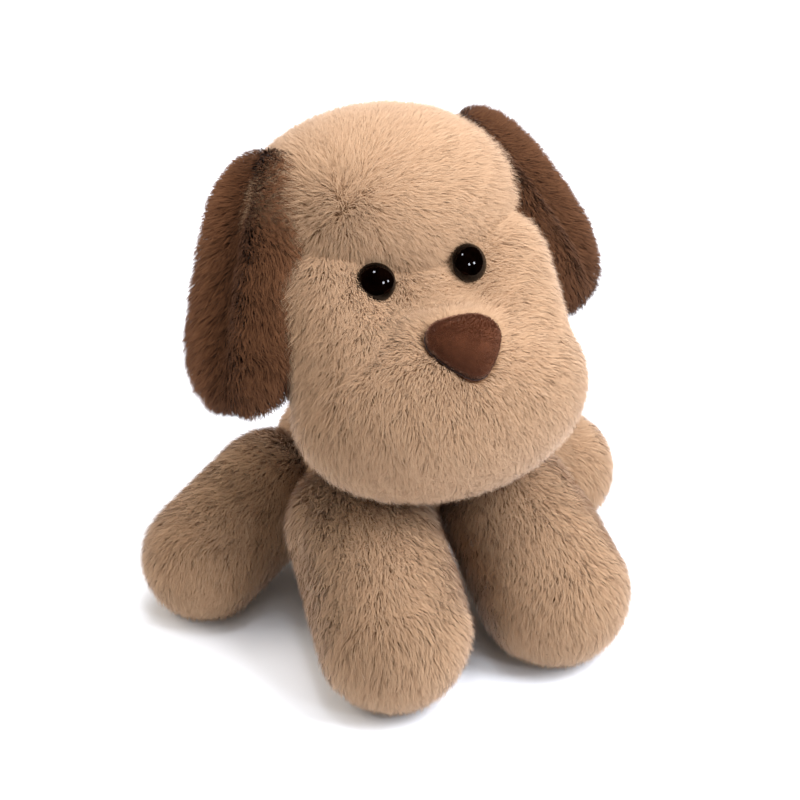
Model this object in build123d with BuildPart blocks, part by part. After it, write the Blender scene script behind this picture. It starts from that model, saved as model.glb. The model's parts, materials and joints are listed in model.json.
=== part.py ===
"""Seated plush dog: sewn fur-fabric panels over loose stuffing, safety eyes and a velvet nose.

The dog faces -Y and +Z is up. The origin is on the floor, under the middle of its box, and
its left side is +X. Every outer surface is that of the dense pile of the fur.
"""
from math import asin, cos, radians, sin, sqrt
import os

from build123d import *

# Fabric, stuffing and clearances
PILE_FABRIC = 3.0  # fur fabric: backing and dense pile
STUFFING_GAP = 0.3  # between a fabric and its stuffing
PANEL_GAP = 0.3  # between the sewn edges of two panels
TRAVEL_GAP = 0.6  # between pieces that move past each other
ROOT_RELIEF = 1.13  # a limb's pocket over the radius of its root

# Paws, which set the length and the width of the dog
DOG_LENGTH = 190.0
FRONT_PAW_RADIUS = 29.0
FRONT_PAW_X = 38.5
HIND_PAW_RADIUS = 25.0
HIND_PAW_X = 87.0
HIND_PAW_Y = 27.0

# Front legs
FRONT_ROOT = (35.0, -12.0, 50.0)
FRONT_ROOT_RADIUS = 24.0

# Hind legs
HIND_ROOT = (49.0, 42.0, 41.0)
HIND_ROOT_RADIUS = 25.0

# Torso: chest, rump and the round top that the neck sits on
CHEST = (0.0, 14.0, 56.0)
CHEST_RADIUS = 34.0
RUMP = (0.0, 42.0, 40.0)
RUMP_RADIUS = 44.0
SEAT_THICKNESS = 3.0
NECK = (0.0, 14.0, 88.0)
NECK_RADIUS = 33.0
NECK_SEAM = 3.0  # height of the seam between torso and neck above the neck's centre
NECK_CORE_RADIUS = 17.0

# Pellet pouch in the rump
POUCH = (0.0, 44.0, 26.0)
POUCH_RADIUS = 18.0
POUCH_WALL = 1.0

# Head: each mass is a spindle of revolution about its own cross axis
SKULL = (0.0, 34.0, 169.0)
SKULL_HALF_WIDTH = 62.0
SKULL_RADIUS = 47.0
BROW = (0.0, 3.0, 142.0)
BROW_HALF_WIDTH = 64.0
BROW_RADIUS = 31.0
MUZZLE = (0.0, -31.0, 117.0)
MUZZLE_HALF_WIDTH = 62.0
MUZZLE_RADIUS = 40.0
GUSSET_WIDTH = 46.0
CHIN_SEAM_Z = 138.0

# Eyes: domed heads on ribbed posts, held by washers inside the head
EYE_SPREAD = 20.5
EYE_Z = 166.0
EYE_SINK = 0.9  # of its back below the face
EYE_DIRECTION = (0.30, -0.80, 0.52)
EYE_RADIUS = 7.2
EYE_DOME_HEIGHT = 5.6
EYE_RIM = 1.4
POST_RADIUS = 2.2
POST_LENGTH = 13.0
POST_RIB_RADIUS = 2.6
POST_RIB_PITCH = 2.4
WASHER_RADIUS = 7.0
WASHER_THICKNESS = 1.6
WASHER_DEPTH = 7.0  # of its inner face below the seat of the eye
FIT_GAP = 0.3

# Nose pad: a rounded triangle of velvet over its own stuffing
NOSE_ANGLE = 60.0  # of its face above the level
NOSE_LOBE_X = 7.5
NOSE_LOBE_Y = 4.5
NOSE_LOBE_RADIUS = 9.0
NOSE_POINT_Y = -9.5
NOSE_POINT_RADIUS = 6.0
NOSE_HEIGHT = 5.0
NOSE_SINK = 6.0
NOSE_SKIN = 1.2
NOSE_EDGE = 3.0

# Ears: curved flaps of two layers, hanging from a sewn root against the sides of the head
EAR_ROOT = (44.0, 45.0, 204.0)
LEFT_EAR_TIP = (85.0, 6.0, 128.0)
RIGHT_EAR_TIP = (79.0, 0.0, 114.0)
LEFT_EAR_TURN = 46.0  # of the way that the flap faces, from the side towards the front
RIGHT_EAR_TURN = 26.0
EAR_ROOT_HALF_WIDTH = 23.0
EAR_HALF_WIDTH = 28.0
EAR_THICKNESS = 14.0
EAR_BOW = 6.0  # how far the middle bows out from the chord

# Tail
TAIL_ELEVATION = 37.0  # of its root around the rump
TAIL_RADIUS = 8.0
TAIL_STANDOFF = 0.5  # of its root's centre off the rump, in tail radii
TAIL_TIP_Z = 96.0



def side_of(point, side):
    """The point on one side of the dog: 1 for its left, -1 for its right."""
    return Vector(point[0] * side, point[1], point[2])


def revolve_profile(origin, direction, points, bulges):
    """A solid turned about the line from origin, from a profile of arcs and lines."""
    axis = Vector(*direction).normalized()
    helper = Vector(0, 0, 1) if abs(axis.Z) < 0.9 else Vector(0, 1, 0)
    with BuildPart() as turned:
        with BuildSketch(Plane(origin=origin, x_dir=axis, z_dir=axis.cross(helper))):
            with BuildLine():
                for start, end, middle in zip(points, points[1:], bulges):
                    if middle is None:
                        Line(start, end)
                    else:
                        ThreePointArc(start, middle, end)
                Line(points[-1], points[0])
            make_face()
        revolve(axis=Axis(origin, axis), revolution_arc=360)
    return turned.part


def ball(centre, radius):
    """A ball."""
    with BuildPart() as sphere:
        with Locations(Vector(*centre)):
            Sphere(radius)
    return sphere.part


def limb(root, end, root_radius, end_radius):
    """A limb that swells or tapers between two round ends."""
    root, end = Vector(*root), Vector(*end)
    length = (end - root).length
    slope = asin((root_radius - end_radius) / length)
    half = (radians(90) + slope) / 2
    other = (radians(90) - slope) / 2
    points = [
        (-root_radius, 0),
        (root_radius * sin(slope), root_radius * cos(slope)),
        (length + end_radius * sin(slope), end_radius * cos(slope)),
        (length + end_radius, 0),
    ]
    bulges = [
        (-root_radius * cos(half), root_radius * sin(half)),
        None,
        (length + end_radius * cos(other), end_radius * sin(other)),
    ]
    return revolve_profile(root, end - root, points, bulges)


def spindle(centre, half_width, radius):
    """An egg-like mass, round about the cross axis through its centre."""
    with BuildPart() as mass:
        with BuildSketch(Plane(origin=centre, x_dir=(1, 0, 0), z_dir=(0, -1, 0))):
            with BuildLine():
                EllipticalCenterArc((0, 0), half_width, radius, start_angle=0, arc_size=90)
                EllipticalCenterArc((0, 0), half_width, radius, start_angle=90, arc_size=90)
                Line((-half_width, 0), (half_width, 0))
            make_face()
        revolve(axis=Axis(centre, (1, 0, 0)), revolution_arc=360)
    return mass.part


def combine(first, others, mode):
    """One solid from the first and the others, joined to it, taken from it or shared with it."""
    with BuildPart() as whole:
        add(first)
        for other in others:
            add(other, mode=mode)
    return whole.part


def above(solid, plane):
    """The part of a solid on the side of the plane that its normal points to."""
    with BuildPart() as half:
        add(solid)
        split(bisect_by=plane, keep=Keep.TOP)
    return half.part


def below(solid, plane):
    """The part of a solid on the side of the plane that its normal points away from."""
    with BuildPart() as half:
        add(solid)
        split(bisect_by=plane, keep=Keep.BOTTOM)
    return half.part


def write(solid, name):
    """Label a finished piece and write it."""
    with BuildPart() as piece:
        add(solid)
    piece.part.label = name
    export_step(piece.part, f"parts/{name}.step")


def write_pair(solid, name):
    """Write a left piece and its mirror image on the right."""
    write(solid, f"{name}_left")
    write(mirror(solid, about=Plane.YZ), f"{name}_right")


def write_halves(shell, plane, first, second):
    """Write the two panels of a shell that meet at a plane, the one that it faces first."""
    write(above(shell, plane.offset(PANEL_GAP / 2)), first)
    write(below(shell, plane.offset(-PANEL_GAP / 2)), second)


os.makedirs("parts", exist_ok=True)
stuffing_inset = PILE_FABRIC + STUFFING_GAP

# Torso ------------------------------------------------------------------------------------
neck_seam = Plane.XY.offset(NECK[2] + NECK_SEAM)


def torso_form(inset, floor):
    """The torso, smaller by an inset all round and cut off level at the floor."""
    body = limb(CHEST, RUMP, CHEST_RADIUS - inset, RUMP_RADIUS - inset)
    stem = limb(NECK, CHEST, NECK_RADIUS - inset, CHEST_RADIUS - inset)
    body = combine(body, [stem], Mode.ADD)
    return below(above(body, Plane.XY.offset(floor)), neck_seam.offset(-inset))


tail_reach = RUMP_RADIUS + TAIL_RADIUS * TAIL_STANDOFF
tail_root = (
    0,
    RUMP[1] + tail_reach * cos(radians(TAIL_ELEVATION)),
    RUMP[2] + tail_reach * sin(radians(TAIL_ELEVATION)),
)


def pockets(margin):
    """The rounded spaces that the roots of the legs and tail and the neck's core turn in."""
    spaces = [
        ball(NECK, NECK_CORE_RADIUS + TRAVEL_GAP + margin),
        ball(tail_root, TAIL_RADIUS * ROOT_RELIEF + margin),
    ]
    for side in (1, -1):
        spaces.append(ball(side_of(FRONT_ROOT, side), FRONT_ROOT_RADIUS * ROOT_RELIEF + margin))
        spaces.append(ball(side_of(HIND_ROOT, side), HIND_ROOT_RADIUS * ROOT_RELIEF + margin))
    return spaces


torso_hull = combine(torso_form(0, 0), pockets(0), Mode.SUBTRACT)
torso_hollow = combine(torso_form(PILE_FABRIC, SEAT_THICKNESS), pockets(PILE_FABRIC), Mode.SUBTRACT)
torso_shell = combine(torso_hull, [torso_hollow], Mode.SUBTRACT)
torso_walls = above(torso_shell, Plane.XY.offset(SEAT_THICKNESS + PANEL_GAP))
write_halves(torso_walls, Plane.YZ, "torso_cover_left", "torso_cover_right")
write(below(torso_shell, Plane.XY.offset(SEAT_THICKNESS)), "seat_panel")

torso_stuffing = combine(
    torso_form(stuffing_inset, SEAT_THICKNESS + STUFFING_GAP),
    pockets(stuffing_inset) + [ball(POUCH, POUCH_RADIUS + STUFFING_GAP)],
    Mode.SUBTRACT,
)
write(torso_stuffing, "torso_filling")
pouch_hollow = ball(POUCH, POUCH_RADIUS - POUCH_WALL)
write(combine(ball(POUCH, POUCH_RADIUS), [pouch_hollow], Mode.SUBTRACT), "pellet_pouch")
write(ball(POUCH, POUCH_RADIUS - POUCH_WALL - STUFFING_GAP), "pellets")

# Neck -------------------------------------------------------------------------------------
neck_dome = above(ball(NECK, NECK_RADIUS), neck_seam.offset(TRAVEL_GAP))
neck_socket = ball(NECK, NECK_CORE_RADIUS + TRAVEL_GAP)
write(combine(neck_dome, [neck_socket], Mode.SUBTRACT), "neck_cover")
write(ball(NECK, NECK_CORE_RADIUS), "neck_filling")


# Head -------------------------------------------------------------------------------------
def head_form(inset):
    """The head without its eyes and nose, smaller by an inset all round."""
    skull = spindle(SKULL, SKULL_HALF_WIDTH - inset, SKULL_RADIUS - inset)
    brow = spindle(BROW, BROW_HALF_WIDTH - inset, BROW_RADIUS - inset)
    muzzle = spindle(MUZZLE, MUZZLE_HALF_WIDTH - inset, MUZZLE_RADIUS - inset)
    return combine(skull, [brow, muzzle], Mode.ADD)


def face_at(x, z):
    """The Y of the face at a place across and up it."""
    fronts = []
    for centre, half_width, radius in (
        (SKULL, SKULL_HALF_WIDTH, SKULL_RADIUS),
        (BROW, BROW_HALF_WIDTH, BROW_RADIUS),
        (MUZZLE, MUZZLE_HALF_WIDTH, MUZZLE_RADIUS),
    ):
        share = 1 - (x / half_width) ** 2 - ((z - centre[2]) / radius) ** 2
        if share > 0:
            fronts.append(centre[1] - radius * sqrt(share))
    return min(fronts)


def disc(plane, radius, start, end):
    """A round bar along a plane's normal, from one height over it to another."""
    with BuildPart() as bar:
        with BuildSketch(plane.offset(start)):
            Circle(radius)
        extrude(amount=end - start)
    return bar.part


def nose_block(inset, start, end):
    """The rounded triangle of the nose, point down, between two heights over its plane."""
    with BuildPart() as block:
        with BuildSketch(nose_plane.offset(start)):
            with Locations((-NOSE_LOBE_X, NOSE_LOBE_Y), (NOSE_LOBE_X, NOSE_LOBE_Y)):
                Circle(NOSE_LOBE_RADIUS - inset)
            with Locations((0, NOSE_POINT_Y)):
                Circle(NOSE_POINT_RADIUS - inset)
            make_hull()
        extrude(amount=end - start)
    return block.part


nose_normal = Vector(0, -cos(radians(NOSE_ANGLE)), sin(radians(NOSE_ANGLE)))
nose_plane = Plane(
    origin=Vector(*MUZZLE) + nose_normal * MUZZLE_RADIUS,
    x_dir=(1, 0, 0),
    z_dir=nose_normal,
)
eye_y = face_at(EYE_SPREAD, EYE_Z) + EYE_SINK
eye_planes = [
    Plane(
        origin=side_of((EYE_SPREAD, eye_y, EYE_Z), side),
        z_dir=side_of(EYE_DIRECTION, side),
    )
    for side in (1, -1)
]


def head_openings():
    """The spaces in the head that its eyes, washers and nose take."""
    spaces = [nose_block(-FIT_GAP, -NOSE_SINK - FIT_GAP, NOSE_HEIGHT)]
    for plane in eye_planes:
        spaces.append(disc(plane, EYE_RADIUS + FIT_GAP, -FIT_GAP, 2 * EYE_RADIUS))
        spaces.append(disc(plane, POST_RIB_RADIUS + FIT_GAP, -POST_LENGTH - FIT_GAP, 0))
        spaces.append(
            disc(
                plane,
                WASHER_RADIUS + FIT_GAP,
                -WASHER_DEPTH - FIT_GAP,
                -WASHER_DEPTH + WASHER_THICKNESS + FIT_GAP,
            )
        )
    return spaces


def neck_space(margin):
    """The space under the head for the neck and the chest to turn in."""
    reach = TRAVEL_GAP + margin
    return limb(NECK, CHEST, NECK_RADIUS + reach, CHEST_RADIUS + reach)


openings = head_openings()
head_hull = combine(head_form(0), [neck_space(0)], Mode.SUBTRACT)
head_hollow = combine(head_form(PILE_FABRIC), [neck_space(PILE_FABRIC)], Mode.SUBTRACT)
head_shell = combine(head_hull, [head_hollow] + openings, Mode.SUBTRACT)
gusset_side = Plane.YZ.offset(GUSSET_WIDTH / 2)
write_pair(above(head_shell, gusset_side.offset(PANEL_GAP / 2)), "head_cover")
gusset = below(head_shell, gusset_side.offset(-PANEL_GAP / 2))
gusset = above(gusset, Plane.YZ.offset(-(GUSSET_WIDTH - PANEL_GAP) / 2))
write_halves(gusset, Plane.XY.offset(CHIN_SEAM_Z), "forehead_gusset", "chin_panel")

head_stuffing = combine(
    head_form(stuffing_inset),
    [neck_space(stuffing_inset)] + openings,
    Mode.SUBTRACT,
)
write(head_stuffing, "head_filling")

# Nose -------------------------------------------------------------------------------------
with BuildPart() as nose_pad:
    add(nose_block(0, -NOSE_SINK, NOSE_HEIGHT))
    fillet(nose_pad.faces().sort_by(Axis(nose_plane.origin, nose_normal))[-1].edges(), NOSE_EDGE)
nose_hollow = nose_block(NOSE_SKIN, -NOSE_SINK + NOSE_SKIN, NOSE_HEIGHT - NOSE_SKIN)
write(combine(nose_pad.part, [nose_hollow], Mode.SUBTRACT), "nose_cover")
nose_core_inset = NOSE_SKIN + STUFFING_GAP
nose_core = nose_block(nose_core_inset, -NOSE_SINK + nose_core_inset, NOSE_HEIGHT - nose_core_inset)
write(nose_core, "nose_filling")

# Eyes -------------------------------------------------------------------------------------
dome_radius = (EYE_RADIUS**2 + (EYE_DOME_HEIGHT - EYE_RIM) ** 2) / (2 * (EYE_DOME_HEIGHT - EYE_RIM))
dome_centre = EYE_DOME_HEIGHT - dome_radius


def eye_button(plane):
    """A domed eye in one piece with its ribbed post."""
    with BuildPart() as eye:
        with BuildSketch(Plane(origin=plane.origin, x_dir=plane.x_dir, z_dir=plane.y_dir)):
            with BuildLine():
                Line((0, 0), (EYE_RADIUS, 0))
                Line((EYE_RADIUS, 0), (EYE_RADIUS, -EYE_RIM))
                RadiusArc((EYE_RADIUS, -EYE_RIM), (0, -EYE_DOME_HEIGHT), dome_radius)
                Line((0, -EYE_DOME_HEIGHT), (0, 0))
            make_face()
        revolve(axis=Axis(plane.origin, plane.z_dir), revolution_arc=360)
        add(disc(plane, POST_RADIUS, -POST_LENGTH, 0))
        rib_height = -WASHER_DEPTH - POST_RIB_PITCH
        while rib_height > -POST_LENGTH + POST_RIB_PITCH / 2:
            add(disc(plane, POST_RIB_RADIUS, rib_height, rib_height + POST_RIB_PITCH / 2))
            rib_height -= POST_RIB_PITCH
    return eye.part


def eye_washer(plane):
    """The locking washer on an eye's post."""
    low = -WASHER_DEPTH
    washer = disc(plane, WASHER_RADIUS, low, low + WASHER_THICKNESS)
    return combine(washer, [disc(plane, POST_RADIUS + FIT_GAP / 2, -POST_LENGTH, 0)], Mode.SUBTRACT)


for plane, name in zip(eye_planes, ("left", "right")):
    write(eye_button(plane), f"eye_{name}")
    write(eye_washer(plane), f"eye_washer_{name}")


# Ears -------------------------------------------------------------------------------------
head_and_gap = head_form(-TRAVEL_GAP)


def write_ear(side, name, tip, turn):
    """Write the two layers of an ear, cut back where they lie against the head."""
    root, tip = side_of(EAR_ROOT, side), side_of(tip, side)
    down = (tip - root).normalized()
    facing = Vector(side * cos(radians(turn)), -sin(radians(turn)), 0)
    flap = Plane(origin=(root + tip) / 2, x_dir=down, z_dir=facing - down * facing.dot(down))
    half_length = (tip - root).length / 2
    radius = (half_length**2 + EAR_BOW**2) / (2 * EAR_BOW)
    section = Plane(
        origin=flap.origin + flap.z_dir * (EAR_BOW - radius),
        x_dir=flap.x_dir,
        z_dir=flap.y_dir,
    )
    with BuildPart() as outline:
        with BuildSketch(flap.offset(-half_length)):
            with Locations((EAR_ROOT_HALF_WIDTH - half_length, 0)):
                Circle(EAR_ROOT_HALF_WIDTH)
            with Locations((half_length - EAR_HALF_WIDTH, 0)):
                Circle(EAR_HALF_WIDTH)
            make_hull()
        extrude(amount=2 * half_length)
    for layer, inner, outer in (
        ("ear_outer", PANEL_GAP / 2, EAR_THICKNESS / 2),
        ("ear_lining", -EAR_THICKNESS / 2, -PANEL_GAP / 2),
    ):
        with BuildPart() as bent:
            with BuildSketch(section):
                Circle(radius + outer)
                Circle(radius + inner, mode=Mode.SUBTRACT)
            extrude(amount=EAR_HALF_WIDTH, both=True)
            add(outline.part, mode=Mode.INTERSECT)
            add(head_and_gap, mode=Mode.SUBTRACT)
        write(bent.part, f"{layer}_{name}")


write_ear(1, "left", LEFT_EAR_TIP, LEFT_EAR_TURN)
write_ear(-1, "right", RIGHT_EAR_TIP, RIGHT_EAR_TURN)

# Legs and tail ----------------------------------------------------------------------------


def write_limb(root, end, root_radius, end_radius, panels, filling):
    """Write a limb on the left and on the right: two panels of cover and the stuffing."""
    shell = combine(
        limb(root, end, root_radius, end_radius),
        [limb(root, end, root_radius - PILE_FABRIC, end_radius - PILE_FABRIC)],
        Mode.SUBTRACT,
    )
    across = (Vector(*end) - Vector(*root)).cross(Vector(0, 0, 1))
    seam = Plane(origin=root, x_dir=(0, 0, 1), z_dir=across)
    write_pair(below(shell, seam.offset(-PANEL_GAP / 2)), panels[0])
    write_pair(above(shell, seam.offset(PANEL_GAP / 2)), panels[1])
    write_pair(limb(root, end, root_radius - stuffing_inset, end_radius - stuffing_inset), filling)


front_paw = (FRONT_PAW_X, FRONT_PAW_RADIUS - DOG_LENGTH / 2, FRONT_PAW_RADIUS)
write_limb(
    FRONT_ROOT,
    front_paw,
    FRONT_ROOT_RADIUS,
    FRONT_PAW_RADIUS,
    ("front_leg_outer", "front_leg_inner"),
    "front_leg_filling",
)
hind_paw = (HIND_PAW_X, HIND_PAW_Y, HIND_PAW_RADIUS)
write_limb(
    HIND_ROOT,
    hind_paw,
    HIND_ROOT_RADIUS,
    HIND_PAW_RADIUS,
    ("hind_leg_back", "hind_leg_front"),
    "hind_leg_filling",
)

tail_tip = (0, DOG_LENGTH / 2 - TAIL_RADIUS, TAIL_TIP_Z)
tail_inner = TAIL_RADIUS - PILE_FABRIC
tail_shell = combine(
    limb(tail_root, tail_tip, TAIL_RADIUS, TAIL_RADIUS),
    [limb(tail_root, tail_tip, tail_inner, tail_inner)],
    Mode.SUBTRACT,
)
write_halves(tail_shell, Plane.YZ, "tail_cover_left", "tail_cover_right")
tail_core = TAIL_RADIUS - stuffing_inset
write(limb(tail_root, tail_tip, tail_core, tail_core), "tail_filling")
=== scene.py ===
"""Seated plush dog: fur-fabric skins with a combed pile, padded ears, domed eyes, a velvet nose."""
import json
import logging
import math
from collections.abc import Callable
from dataclasses import dataclass, field
from enum import Enum

import bmesh
import bpy
import numpy as np
from mathutils import Matrix, Vector
from mathutils.bvhtree import BVHTree


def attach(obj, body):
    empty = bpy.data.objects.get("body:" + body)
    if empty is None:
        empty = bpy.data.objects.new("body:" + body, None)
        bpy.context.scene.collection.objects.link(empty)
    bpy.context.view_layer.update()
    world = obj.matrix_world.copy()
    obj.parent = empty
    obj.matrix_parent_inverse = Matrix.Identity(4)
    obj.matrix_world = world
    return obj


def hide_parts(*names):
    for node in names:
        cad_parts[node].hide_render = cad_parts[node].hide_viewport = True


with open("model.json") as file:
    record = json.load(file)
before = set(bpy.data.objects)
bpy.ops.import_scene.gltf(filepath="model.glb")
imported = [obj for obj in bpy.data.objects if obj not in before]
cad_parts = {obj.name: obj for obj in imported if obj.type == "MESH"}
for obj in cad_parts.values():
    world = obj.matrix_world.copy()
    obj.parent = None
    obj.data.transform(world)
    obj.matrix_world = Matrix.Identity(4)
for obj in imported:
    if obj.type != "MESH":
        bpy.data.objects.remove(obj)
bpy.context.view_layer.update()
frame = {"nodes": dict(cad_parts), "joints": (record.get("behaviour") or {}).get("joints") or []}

log = logging.getLogger("plush_dog")
MM = 0.001
SEED = 71
BAKE_MAP = "OFBake"
FLOOR_CLEARANCE = 0.3 * MM

Array = np.ndarray
Flow = Callable[[Array, Array], Array]
Share = Callable[[Array], Array]
Piece = bpy.types.Object
Material = bpy.types.Material


def mm(*sizes: float) -> tuple:
    """Sizes in millimetres, as metres."""
    return tuple(size * MM for size in sizes)


class Side(Enum):
    """The two sides of the dog, by the sign of X."""

    LEFT = 1
    RIGHT = -1

    @property
    def word(self) -> str:
        """The side's name in node and body names."""
        return self.name.lower()


# Shader expressions ---------------------------------------------------------------------------


class Shade:
    """A value socket that adds Math nodes when it is used in an expression."""

    def __init__(self, tree: bpy.types.NodeTree, socket: bpy.types.NodeSocket) -> None:
        """Wrap a socket.

        Args:
            tree: the node tree that the socket is in.
            socket: the output socket.
        """
        self.tree = tree
        self.socket = socket

    def _math(self, operation: str, first: "Shade | float", second: "Shade | float") -> "Shade":
        """Add one Math node.

        Args:
            operation: the node's operation.
            first: its first value.
            second: its second value.

        Returns:
            The node's result.
        """
        node = self.tree.nodes.new("ShaderNodeMath")
        node.operation = operation
        for socket, value in zip(node.inputs, (first, second)):
            if isinstance(value, Shade):
                self.tree.links.new(value.socket, socket)
            else:
                socket.default_value = value
        return Shade(self.tree, node.outputs[0])

    def __add__(self, other: "Shade | float") -> "Shade":
        """self + other."""
        return self._math("ADD", self, other)

    def __radd__(self, other: float) -> "Shade":
        """other + self."""
        return self._math("ADD", other, self)

    def __sub__(self, other: "Shade | float") -> "Shade":
        """self - other."""
        return self._math("SUBTRACT", self, other)

    def __rsub__(self, other: float) -> "Shade":
        """other - self."""
        return self._math("SUBTRACT", other, self)

    def __mul__(self, other: "Shade | float") -> "Shade":
        """self * other."""
        return self._math("MULTIPLY", self, other)

    def __rmul__(self, other: float) -> "Shade":
        """other * self."""
        return self._math("MULTIPLY", other, self)

    def __pow__(self, other: float) -> "Shade":
        """self to a power."""
        return self._math("POWER", self, other)


class Dye:
    """The node tree of one material, with a Principled shader at its end."""

    def __init__(self, name: str) -> None:
        """Start a material.

        Args:
            name: the material's name.
        """
        self.material = bpy.data.materials.new(name)
        self.material.use_nodes = True
        self.tree = self.material.node_tree
        self.shader = self.tree.nodes["Principled BSDF"]

    def node(
        self, kind: str, settings: dict | None = None, sockets: dict | None = None
    ) -> bpy.types.Node:
        """Add a node.

        Args:
            kind: the node's type.
            settings: its properties, set first.
            sockets: values or links of its inputs.

        Returns:
            The node.
        """
        made = self.tree.nodes.new(kind)
        for key, value in (settings or {}).items():
            setattr(made, key, value)
        for key, value in (sockets or {}).items():
            if isinstance(value, Shade):
                self.tree.links.new(value.socket, made.inputs[key])
            else:
                made.inputs[key].default_value = value
        return made

    def out(self, node: bpy.types.Node, output: str | int = 0) -> Shade:
        """The wrapped output of a node."""
        return Shade(self.tree, node.outputs[output])

    def where(self) -> Shade:
        """The place on the object, in metres."""
        return self.out(self.node("ShaderNodeTexCoord"), "Object")

    def noise(self, scale: float, detail: float = 2.0, roughness: float = 0.5) -> Shade:
        """Noise over the object.

        Args:
            scale: bumps in a metre.
            detail: octaves.
            roughness: how strong the finer octaves are.

        Returns:
            The noise, from 0 to 1.
        """
        sockets = {"Vector": self.where(), "Scale": scale, "Detail": detail, "Roughness": roughness}
        return self.out(self.node("ShaderNodeTexNoise", None, sockets), 0)

    def mix(self, share: "Shade | float", first: "Shade | tuple", second: "Shade | tuple") -> Shade:
        """A colour between two others.

        Args:
            share: 0 for the first, 1 for the second.
            first: a colour.
            second: a colour.

        Returns:
            The mixed colour.
        """
        sockets = {0: share, 6: _rgba(first), 7: _rgba(second)}
        node = self.node("ShaderNodeMix", {"data_type": "RGBA", "clamp_factor": True}, sockets)
        return self.out(node, 2)

    def ramp(self, value: Shade, stops: list[tuple[float, tuple]]) -> Shade:
        """A colour ramp.

        Args:
            value: where on the ramp.
            stops: places and their colours.

        Returns:
            The colour.
        """
        node = self.node("ShaderNodeValToRGB", None, {"Fac": value})
        ramp = node.color_ramp
        while len(ramp.elements) < len(stops):
            ramp.elements.new(1.0)
        for element, (place, colour) in zip(ramp.elements, stops):
            element.position = place
            element.color = _rgba(colour)
        return self.out(node, 0)

    def relief(self, height: Shade, depth: float, strength: float = 1.0) -> None:
        """Give the surface a fine relief.

        Args:
            height: the relief's height, from 0 to 1.
            depth: its full depth in metres.
            strength: how much of it shows.
        """
        sockets = {"Height": height, "Distance": depth, "Strength": strength}
        bump = self.node("ShaderNodeBump", None, sockets)
        self.tree.links.new(bump.outputs["Normal"], self.shader.inputs["Normal"])

    def paint(self, **sockets: "Shade | float | tuple") -> None:
        """Set or link sockets of the shader, with _ for each space in a name."""
        for key, value in sockets.items():
            socket = self.shader.inputs[key.replace("_", " ")]
            if isinstance(value, Shade):
                self.tree.links.new(value.socket, socket)
            else:
                socket.default_value = _rgba(value) if isinstance(value, tuple) else value


def _rgba(colour: "Shade | tuple") -> "Shade | tuple":
    """A colour with its alpha, or the same socket."""
    return colour if isinstance(colour, Shade) or len(colour) == 4 else (*colour, 1.0)


def srgb(red: int, green: int, blue: int) -> tuple[float, float, float]:
    """A linear colour from display values of 0 to 255."""
    return tuple((value / 255) ** 2.2 for value in (red, green, blue))


# Finishes -------------------------------------------------------------------------------------


@dataclass(frozen=True)
class FurFinish:
    """The dye of a pile: dark at the root, lighter to the tip, each hair a little different; the
    darker roots are partly the fabric's dye and partly painted shade deep in the pile.
    """

    name: str
    root: tuple
    middle: tuple
    tip: tuple
    dark: tuple
    light: tuple
    spread: float = 0.45
    roughness: float = 0.78
    sheen: float = 0.18
    sheen_tint: tuple = (1.0, 0.9, 0.82)

    def make(self) -> Material:
        """The material, coloured along and across the pile's own map."""
        dye = Dye(self.name)
        place = dye.node("ShaderNodeUVMap", {"uv_map": BAKE_MAP})
        parts = dye.node("ShaderNodeSeparateXYZ", None, {"Vector": dye.out(place)})
        along = dye.out(parts, "X") * (1 / Pile.MAP_LENGTH)
        tint = dye.out(parts, "Y")
        # Darker towards the root: partly dye, partly painted shade where the pile shades its own
        # roots.
        body = dye.ramp(along, [(0.0, self.root), (0.45, self.middle), (1.0, self.tip)])
        own = dye.ramp(tint, [(0.0, self.dark), (0.5, self.middle), (1.0, self.light)])
        dye.paint(
            Base_Color=dye.mix(self.spread * (0.35 + 0.65 * along), body, own),
            Roughness=self.roughness,
            Sheen_Weight=self.sheen,
            Sheen_Roughness=0.5,
            Sheen_Tint=self.sheen_tint,
            Specular_IOR_Level=0.25,
        )
        return dye.material


@dataclass(frozen=True)
class BackingFinish:
    """The woven backing and the dense roots of the pile on it."""

    name: str
    dark: tuple
    light: tuple

    def make(self) -> Material:
        """The material: mottled by the roots, with their fine relief."""
        dye = Dye(self.name)
        patches = dye.noise(90, 3)
        roots = dye.noise(1400, 2, 0.7)
        dye.paint(
            Base_Color=dye.mix(0.5 * patches + 0.5 * roots, self.dark, self.light),
            Roughness=0.85 + 0.15 * roots,
            Sheen_Weight=0.2,
            Specular_IOR_Level=0.2,
        )
        dye.relief(roots, 0.8 * MM)
        return dye.material


@dataclass(frozen=True)
class VelvetFinish:
    """Short velvet: a fine nap, lighter in random patches where the nap is raised."""

    name: str
    dark: tuple
    light: tuple

    def make(self) -> Material:
        """The material, with its nap and the sheen along its edges."""
        dye = Dye(self.name)
        # Random patches of raised nap: the velvet's own tone.
        brushed_and_painted_light = dye.noise(160, 3, 0.6)
        nap = dye.noise(2600, 3, 0.75)
        tone = (brushed_and_painted_light - 0.5) * 1.3 + nap * 0.7 + 0.1
        dye.paint(
            Base_Color=dye.mix(tone, self.dark, self.light),
            Roughness=0.8 + 0.2 * nap,
            Sheen_Weight=0.55,
            Sheen_Roughness=0.35,
            Sheen_Tint=srgb(205, 150, 120),
            Specular_IOR_Level=0.2,
        )
        dye.relief(nap, 0.35 * MM)
        return dye.material


@dataclass(frozen=True)
class GlossFinish:
    """Polished black plastic, a little brown in its depth."""

    name: str
    dark: tuple
    light: tuple

    def make(self) -> Material:
        """The material, with faint haze and rubbed marks in its gloss."""
        dye = Dye(self.name)
        cloud = dye.noise(240, 2)
        rubbed = dye.noise(1800, 3, 0.7)
        dye.paint(
            Base_Color=dye.mix(cloud ** 2.0, self.dark, self.light),
            Roughness=0.03 + 0.04 * rubbed,
            Specular_IOR_Level=0.3,
        )
        return dye.material


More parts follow.
